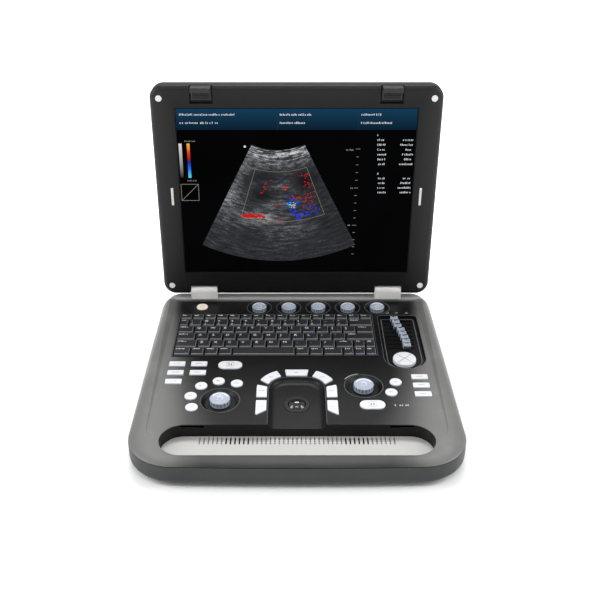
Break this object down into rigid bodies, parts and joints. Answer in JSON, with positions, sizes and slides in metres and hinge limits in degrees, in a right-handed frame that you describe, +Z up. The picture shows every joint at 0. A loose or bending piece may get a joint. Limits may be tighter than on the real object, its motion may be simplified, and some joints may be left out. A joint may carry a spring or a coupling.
{
  "type": "ultrasound scanner",
  "caption": "Laptop-style portable ultrasound scanner: hinged display lid over a control panel with keyboard, knobs, slide controls, trackball and a front grip recess.",
  "frame": {"origin": "on the table, under the middle of the bounding box", "axes": "+X is the operator's right, +Y runs from the operator to the hinge, +Z is up; the lid stands upright"},
  "size_m": [0.378, 0.366, 0.351],
  "materials": {
    "case_dark": "satin moulded ABS",
    "case_top": "satin silver-grey paint that fades to near-black on the panel",
    "tray_silver": "fine brushed, clear anodised",
    "hinge_silver": "satin silver paint",
    "keyboard_black": "fine matt",
    "key_black": "matt with printed legends",
    "circuit_board": "solder-masked laminate",
    "socket_black": "matt",
    "battery_grey": "textured",
    "rubber_black": "matt",
    "screw_steel": "black zinc",
    "bezel_black": "satin",
    "lid_black": "satin",
    "display": "anti-glare display glass",
    "bumper_grey": "matt",
    "hinge_steel": "machined",
    "latch_black": "satin, ribbed",
    "button_white": "satin",
    "button_cream": "satin",
    "knob_blue": "satin pearl",
    "ball_black": "polished",
    "fan_black": "moulded"
  },
  "bodies": {
    "base": {"bottom_case": "case_dark", "top_case": "case_top", "tray_plate": "tray_silver", "hinge_knuckles": "hinge_silver", "keyboard_frame": "keyboard_black", "control_board": "circuit_board", "main_board": "circuit_board", "probe_sockets": "socket_black", "battery_pack": "battery_grey", "fan_housing": "fan_black", "trackball_cup": "socket_black", "trackball_ring": "keyboard_black", "speakers": "socket_black", "rubber_feet": "rubber_black", "case_screws": "screw_steel"},
    "lid": {"display_bezel": "bezel_black", "display_back_cover": "lid_black", "lcd_module": "display", "bezel_bumpers": "bumper_grey", "hinge_arms": "hinge_steel"},
    "latch_left": {"latch_left": "latch_black"},
    "latch_right": {"latch_right": "latch_black"},
    "keycaps": {"keycaps": "key_black"},
    "power_button": {"power_button": "button_cream"},
    "freeze_button": {"freeze_button": "button_white"},
    "exam_button": {"exam_button": "button_white"},
    "left_button_1": {"left_button_1": "button_white"},
    "left_button_2": {"left_button_2": "button_white"},
    "left_button_3": {"left_button_3": "button_white"},
    "left_button_4": {"left_button_4": "button_white"},
    "left_button_5": {"left_button_5": "button_white"},
    "right_button_1": {"right_button_1": "button_white"},
    "right_button_2": {"right_button_2": "button_white"},
    "arc_key_1": {"arc_key_1": "button_white"},
    "arc_key_2": {"arc_key_2": "button_white"},
    "arc_key_3": {"arc_key_3": "button_white"},
    "arc_key_4": {"arc_key_4": "button_white"},
    "arc_key_5": {"arc_key_5": "button_white"},
    "arc_key_6": {"arc_key_6": "button_white"},
    "arc_key_7": {"arc_key_7": "button_white"},
    "left_keypad": {"left_keypad": "button_white"},
    "right_keypad": {"right_keypad": "button_white"},
    "menu_knob_1": {"menu_knob_1": "knob_blue"},
    "menu_knob_2": {"menu_knob_2": "knob_blue"},
    "menu_knob_3": {"menu_knob_3": "knob_blue"},
    "menu_knob_4": {"menu_knob_4": "knob_blue"},
    "menu_knob_5": {"menu_knob_5": "knob_blue"},
    "gain_knob": {"gain_knob": "knob_blue"},
    "select_knob": {"select_knob": "knob_blue"},
    "tgc_slider_1": {"tgc_slider_1": "knob_blue"},
    "tgc_slider_2": {"tgc_slider_2": "knob_blue"},
    "tgc_slider_3": {"tgc_slider_3": "knob_blue"},
    "tgc_slider_4": {"tgc_slider_4": "knob_blue"},
    "tgc_slider_5": {"tgc_slider_5": "knob_blue"},
    "tgc_slider_6": {"tgc_slider_6": "knob_blue"},
    "tgc_slider_7": {"tgc_slider_7": "knob_blue"},
    "tgc_slider_8": {"tgc_slider_8": "knob_blue"},
    "nav_pad": {"nav_pad": "button_white"},
    "trackball": {"trackball": "ball_black"},
    "fan_rotor": {"fan_rotor": "fan_black"}
  },
  "joints": [
    {"name": "lid_hinge", "type": "hinge", "parent": "base", "child": "lid", "pos_m": [0, 0.165, 0.063], "axis": [1, 0, 0], "range_deg": [-35, 92.3]},
    {"name": "latch_left_slide", "type": "slide", "parent": "lid", "child": "latch_left", "axis": [0, 0, -1], "range_m": [0, 0.0035]},
    {"name": "latch_right_slide", "type": "slide", "parent": "lid", "child": "latch_right", "axis": [0, 0, -1], "range_m": [0, 0.0035]},
    {"name": "keycaps_press", "type": "slide", "parent": "base", "child": "keycaps", "axis": [0, 0.0401, -0.9992], "range_m": [0, 0.002], "stiffness_N_per_m": 400, "springref_m": -0.002},
    {"name": "power_button_press", "type": "slide", "parent": "base", "child": "power_button", "axis": [0, 0.0401, -0.9992], "range_m": [0, 0.0015], "stiffness_N_per_m": 150, "springref_m": -0.001},
    {"name": "freeze_button_press", "type": "slide", "parent": "base", "child": "freeze_button", "axis": [0, 0.0401, -0.9992], "range_m": [0, 0.0015], "stiffness_N_per_m": 150, "springref_m": -0.001},
    {"name": "exam_button_press", "type": "slide", "parent": "base", "child": "exam_button", "axis": [0, 0.0401, -0.9992], "range_m": [0, 0.0015], "stiffness_N_per_m": 150, "springref_m": -0.001},
    {"name": "left_button_1_press", "type": "slide", "parent": "base", "child": "left_button_1", "axis": [0, 0.0401, -0.9992], "range_m": [0, 0.0015], "stiffness_N_per_m": 150, "springref_m": -0.001},
    {"name": "left_button_2_press", "type": "slide", "parent": "base", "child": "left_button_2", "axis": [0, 0.0401, -0.9992], "range_m": [0, 0.0015], "stiffness_N_per_m": 150, "springref_m": -0.001},
    {"name": "left_button_3_press", "type": "slide", "parent": "base", "child": "left_button_3", "axis": [0, 0.0401, -0.9992], "range_m": [0, 0.0015], "stiffness_N_per_m": 150, "springref_m": -0.001},
    {"name": "left_button_4_press", "type": "slide", "parent": "base", "child": "left_button_4", "axis": [0, 0.0401, -0.9992], "range_m": [0, 0.0015], "stiffness_N_per_m": 150, "springref_m": -0.001},
    {"name": "left_button_5_press", "type": "slide", "parent": "base", "child": "left_button_5", "axis": [0, 0.0401, -0.9992], "range_m": [0, 0.0015], "stiffness_N_per_m": 150, "springref_m": -0.001},
    {"name": "right_button_1_press", "type": "slide", "parent": "base", "child": "right_button_1", "axis": [0, 0.0401, -0.9992], "range_m": [0, 0.0015], "stiffness_N_per_m": 150, "springref_m": -0.001},
    {"name": "right_button_2_press", "type": "slide", "parent": "base", "child": "right_button_2", "axis": [0, 0.0401, -0.9992], "range_m": [0, 0.0015], "stiffness_N_per_m": 150, "springref_m": -0.001},
    {"name": "arc_key_1_press", "type": "slide", "parent": "base", "child": "arc_key_1", "axis": [0, 0.0401, -0.9992], "range_m": [0, 0.0015], "stiffness_N_per_m": 150, "springref_m": -0.001},
    {"name": "arc_key_2_press", "type": "slide", "parent": "base", "child": "arc_key_2", "axis": [0, 0.0401, -0.9992], "range_m": [0, 0.0015], "stiffness_N_per_m": 150, "springref_m": -0.001},
    {"name": "arc_key_3_press", "type": "slide", "parent": "base", "child": "arc_key_3", "axis": [0, 0.0401, -0.9992], "range_m": [0, 0.0015], "stiffness_N_per_m": 150, "springref_m": -0.001},
    {"name": "arc_key_4_press", "type": "slide", "parent": "base", "child": "arc_key_4", "axis": [0, 0.0401, -0.9992], "range_m": [0, 0.0015], "stiffness_N_per_m": 150, "springref_m": -0.001},
    {"name": "arc_key_5_press", "type": "slide", "parent": "base", "child": "arc_key_5", "axis": [0, 0.0401, -0.9992], "range_m": [0, 0.0015], "stiffness_N_per_m": 150, "springref_m": -0.001},
    {"name": "arc_key_6_press", "type": "slide", "parent": "base", "child": "arc_key_6", "axis": [0, 0.0401, -0.9992], "range_m": [0, 0.0015], "stiffness_N_per_m": 150, "springref_m": -0.001},
    {"name": "arc_key_7_press", "type": "slide", "parent": "base", "child": "arc_key_7", "axis": [0, 0.0401, -0.9992], "range_m": [0, 0.0015], "stiffness_N_per_m": 150, "springref_m": -0.001},
    {"name": "left_keypad_press", "type": "slide", "parent": "base", "child": "left_keypad", "axis": [0, 0.0401, -0.9992], "range_m": [0, 0.0015], "stiffness_N_per_m": 150, "springref_m": -0.001},
    {"name": "right_keypad_press", "type": "slide", "parent": "base", "child": "right_keypad", "axis": [0, 0.0401, -0.9992], "range_m": [0, 0.0015], "stiffness_N_per_m": 150, "springref_m": -0.001},
    {"name": "menu_knob_1_turn", "type": "hinge", "parent": "base", "child": "menu_knob_1", "pos_m": [-0.051, 0.14039, 0.04664], "axis": [0, -0.0401, 0.9992], "continuous": true},
    {"name": "menu_knob_2_turn", "type": "hinge", "parent": "base", "child": "menu_knob_2", "pos_m": [-0.0102, 0.14039, 0.04664], "axis": [0, -0.0401, 0.9992], "continuous": true},
    {"name": "menu_knob_3_turn", "type": "hinge", "parent": "base", "child": "menu_knob_3", "pos_m": [0.0306, 0.14039, 0.04664], "axis": [0, -0.0401, 0.9992], "continuous": true},
    {"name": "menu_knob_4_turn", "type": "hinge", "parent": "base", "child": "menu_knob_4", "pos_m": [0.0714, 0.14039, 0.04664], "axis": [0, -0.0401, 0.9992], "continuous": true},
    {"name": "menu_knob_5_turn", "type": "hinge", "parent": "base", "child": "menu_knob_5", "pos_m": [0.1122, 0.14039, 0.04664], "axis": [0, -0.0401, 0.9992], "continuous": true},
    {"name": "gain_knob_turn", "type": "hinge", "parent": "base", "child": "gain_knob", "pos_m": [-0.0904, -0.07004, 0.03819], "axis": [0, -0.0401, 0.9992], "continuous": true},
    {"name": "select_knob_turn", "type": "hinge", "parent": "base", "child": "select_knob", "pos_m": [0.0804, -0.04197, 0.03931], "axis": [0, -0.0401, 0.9992], "continuous": true},
    {"name": "tgc_slider_1_slide", "type": "slide", "parent": "base", "child": "tgc_slider_1", "axis": [1, 0, 0], "range_m": [-0.0131, 0.0199]},
    {"name": "tgc_slider_2_slide", "type": "slide", "parent": "base", "child": "tgc_slider_2", "axis": [1, 0, 0], "range_m": [-0.0146, 0.0184]},
    {"name": "tgc_slider_3_slide", "type": "slide", "parent": "base", "child": "tgc_slider_3", "axis": [1, 0, 0], "range_m": [-0.0159, 0.0171]},
    {"name": "tgc_slider_4_slide", "type": "slide", "parent": "base", "child": "tgc_slider_4", "axis": [1, 0, 0], "range_m": [-0.0191, 0.0139]},
    {"name": "tgc_slider_5_slide", "type": "slide", "parent": "base", "child": "tgc_slider_5", "axis": [1, 0, 0], "range_m": [-0.0205, 0.0125]},
    {"name": "tgc_slider_6_slide", "type": "slide", "parent": "base", "child": "tgc_slider_6", "axis": [1, 0, 0], "range_m": [-0.0219, 0.0111]},
    {"name": "tgc_slider_7_slide", "type": "slide", "parent": "base", "child": "tgc_slider_7", "axis": [1, 0, 0], "range_m": [-0.0231, 0.0099]},
    {"name": "tgc_slider_8_slide", "type": "slide", "parent": "base", "child": "tgc_slider_8", "axis": [1, 0, 0], "range_m": [-0.0231, 0.0099]},
    {"name": "nav_pad_tilt", "type": "hinge", "parent": "base", "child": "nav_pad", "pos_m": [0.136, 0.01443, 0.03558], "axis": [1, 0, 0], "range_deg": [-3, 3], "stiffness_Nm_per_rad": 0.4},
    {"name": "trackball_roll", "type": "hinge", "parent": "base", "child": "trackball", "pos_m": [0, -0.06942, 0.0252], "axis": [1, 0, 0], "continuous": true},
    {"name": "fan_spin", "type": "hinge", "parent": "base", "child": "fan_rotor", "pos_m": [-0.155, 0.092, 0.015], "axis": [0, 0, 1], "continuous": true}
  ]
}
